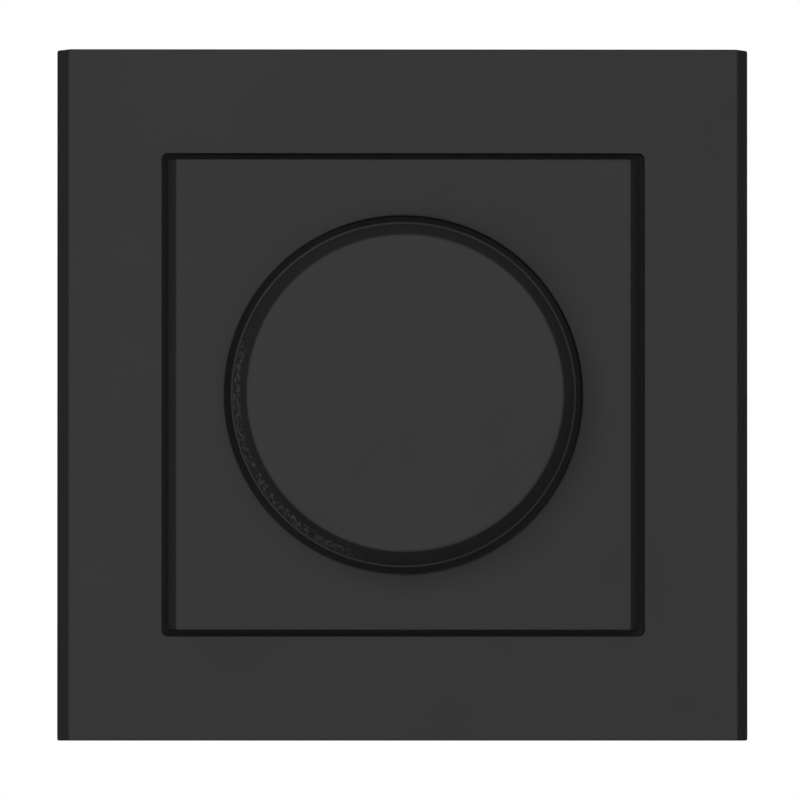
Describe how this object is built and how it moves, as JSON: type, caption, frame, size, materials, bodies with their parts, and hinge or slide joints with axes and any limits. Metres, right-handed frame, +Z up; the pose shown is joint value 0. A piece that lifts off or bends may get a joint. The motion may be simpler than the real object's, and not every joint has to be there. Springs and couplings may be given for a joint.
{
  "type": "wall dimmer",
  "caption": "Square wall dimmer with a cover frame, a centre plate and a round knob that turns to dim and pushes to switch, on a flush insert with spreading claws.",
  "frame": {"origin": "middle of the support plate on the plane of the wall, on the knob's axis", "axes": "+Z up, +Y into the wall along the knob's axis, -Y towards the room, +X to the right as seen from the room"},
  "size_m": [0.0804, 0.0464, 0.0804],
  "materials": {
    "matt_black_plastic": "fine matt moulding",
    "zinc_steel": "bright zinc plating",
    "spring_steel": "bare spring steel",
    "light_grey_moulding": "matt heat-resistant moulding",
    "dark_grey_moulding": "satin insulating moulding",
    "brass": "turned or stamped brass",
    "nickel_brass": "nickel-plated brass",
    "aluminium": "turned aluminium",
    "phenolic_wafer": "brown phenolic sheet with a carbon track",
    "white_nylon": "natural nylon",
    "board_laminate": "green solder mask",
    "black_epoxy": "moulded epoxy",
    "silicone_pad": "grey silicone sheet",
    "ferrite": "sintered ferrite",
    "enamelled_copper": "enamelled copper wire",
    "yellow_film_case": "glossy moulded case",
    "blue_film_case": "glossy dipped case",
    "resistor_lacquer": "lacquered film resistor",
    "fuse_glass": "clear glass tube with metal ends"
  },
  "bodies": {
    "insert": {"cover_frame": "matt_black_plastic", "centre_plate": "matt_black_plastic", "plate_nut": "nickel_brass", "bushing": "nickel_brass", "pot_case": "dark_grey_moulding", "resistor_track": "phenolic_wafer", "switch_case": "dark_grey_moulding", "switch_spring": "spring_steel", "switch_blades": "brass", "front_cover": "dark_grey_moulding", "case_screws": "zinc_steel", "support_plate": "zinc_steel", "claw_pins": "zinc_steel", "rear_housing": "light_grey_moulding", "circuit_board": "board_laminate", "triac": "black_epoxy", "triac_pad": "silicone_pad", "triac_screw": "zinc_steel", "triac_nut": "zinc_steel", "choke_core": "ferrite", "choke_winding": "enamelled_copper", "suppression_capacitor": "yellow_film_case", "timing_capacitor": "blue_film_case", "resistors": "resistor_lacquer", "diac": "black_epoxy", "fuse": "fuse_glass", "fuse_clips": "brass", "terminal_block": "dark_grey_moulding", "contact_bars": "brass"},
    "plunger": {"switch_plunger": "white_nylon", "switch_bridge": "brass"},
    "knob": {"knob": "matt_black_plastic", "knob_leaf": "spring_steel", "knob_shaft": "aluminium", "shaft_clip": "spring_steel"},
    "rotor": {"wiper_rotor": "white_nylon", "wiper_contact": "brass"},
    "claw_right": {"claw_right": "zinc_steel"},
    "claw_nut_right": {"claw_nut_right": "zinc_steel"},
    "claw_screw_right": {"claw_screw_right": "zinc_steel"},
    "claw_left": {"claw_left": "zinc_steel"},
    "claw_nut_left": {"claw_nut_left": "zinc_steel"},
    "claw_screw_left": {"claw_screw_left": "zinc_steel"},
    "terminal_screw_1": {"terminal_screw_1": "zinc_steel"},
    "terminal_cage_1": {"terminal_cage_1": "zinc_steel"},
    "terminal_screw_2": {"terminal_screw_2": "zinc_steel"},
    "terminal_cage_2": {"terminal_cage_2": "zinc_steel"},
    "terminal_screw_3": {"terminal_screw_3": "zinc_steel"},
    "terminal_cage_3": {"terminal_cage_3": "zinc_steel"}
  },
  "joints": [
    {"name": "knob_push", "type": "slide", "parent": "insert", "child": "plunger", "axis": [0, 1, 0], "range_m": [0, 0.0018], "stiffness_N_per_m": 1500, "springref_m": -0.001, "deforming": ["switch_spring"]},
    {"name": "knob_turn", "type": "hinge", "parent": "plunger", "child": "knob", "pos_m": [0, 0, 0], "axis": [0, 1, 0], "range_deg": [-150, 150]},
    {"name": "wiper_turn", "type": "hinge", "parent": "insert", "child": "rotor", "pos_m": [0, 0, 0], "axis": [0, 1, 0], "range_deg": [-150, 150]},
    {"name": "claw_screw_right_turn", "type": "hinge", "parent": "insert", "child": "claw_screw_right", "pos_m": [0.026, 0, 0], "axis": [0, 1, 0], "range_deg": [0, 1900.81]},
    {"name": "claw_nut_right_draw", "type": "slide", "parent": "insert", "child": "claw_nut_right", "axis": [0, -1, 0], "range_m": [0, 0.00264]},
    {"name": "claw_right_swing", "type": "hinge", "parent": "insert", "child": "claw_right", "pos_m": [0.021, 0.0026, 0], "axis": [0, 0, -1], "range_deg": [0, 22]},
    {"name": "claw_screw_left_turn", "type": "hinge", "parent": "insert", "child": "claw_screw_left", "pos_m": [-0.026, 0, 0], "axis": [0, 1, 0], "range_deg": [0, 1900.81]},
    {"name": "claw_nut_left_draw", "type": "slide", "parent": "insert", "child": "claw_nut_left", "axis": [0, -1, 0], "range_m": [0, 0.00264]},
    {"name": "claw_left_swing", "type": "hinge", "parent": "insert", "child": "claw_left", "pos_m": [-0.021, 0.0026, 0], "axis": [0, 0, 1], "range_deg": [0, 22]},
    {"name": "terminal_screw_1_turn", "type": "hinge", "parent": "insert", "child": "terminal_screw_1", "pos_m": [-0.0085, 0.019, 0], "axis": [0, 0, 1], "range_deg": [0, 1440.01]},
    {"name": "terminal_cage_1_draw", "type": "slide", "parent": "insert", "child": "terminal_cage_1", "axis": [0, 0, -1], "range_m": [0, 0.002]},
    {"name": "terminal_screw_2_turn", "type": "hinge", "parent": "insert", "child": "terminal_screw_2", "pos_m": [0, 0.019, 0], "axis": [0, 0, 1], "range_deg": [0, 1440.01]},
    {"name": "terminal_cage_2_draw", "type": "slide", "parent": "insert", "child": "terminal_cage_2", "axis": [0, 0, -1], "range_m": [0, 0.002]},
    {"name": "terminal_screw_3_turn", "type": "hinge", "parent": "insert", "child": "terminal_screw_3", "pos_m": [0.0085, 0.019, 0], "axis": [0, 0, 1], "range_deg": [0, 1440.01]},
    {"name": "terminal_cage_3_draw", "type": "slide", "parent": "insert", "child": "terminal_cage_3", "axis": [0, 0, -1], "range_m": [0, 0.002]}
  ],
  "couplings": [
    {"joint": "wiper_turn", "follows": "knob_turn", "ratio": 1},
    {"joint": "claw_screw_right_turn", "follows": "claw_nut_right_draw", "rad_per_m": 12566},
    {"joint": "claw_right_swing", "follows": "claw_nut_right_draw", "rad_per_m": 145.44},
    {"joint": "claw_screw_left_turn", "follows": "claw_nut_left_draw", "rad_per_m": 12566},
    {"joint": "claw_left_swing", "follows": "claw_nut_left_draw", "rad_per_m": 145.44},
    {"joint": "terminal_screw_1_turn", "follows": "terminal_cage_1_draw", "rad_per_m": 12566},
    {"joint": "terminal_screw_2_turn", "follows": "terminal_cage_2_draw", "rad_per_m": 12566},
    {"joint": "terminal_screw_3_turn", "follows": "terminal_cage_3_draw", "rad_per_m": 12566}
  ]
}
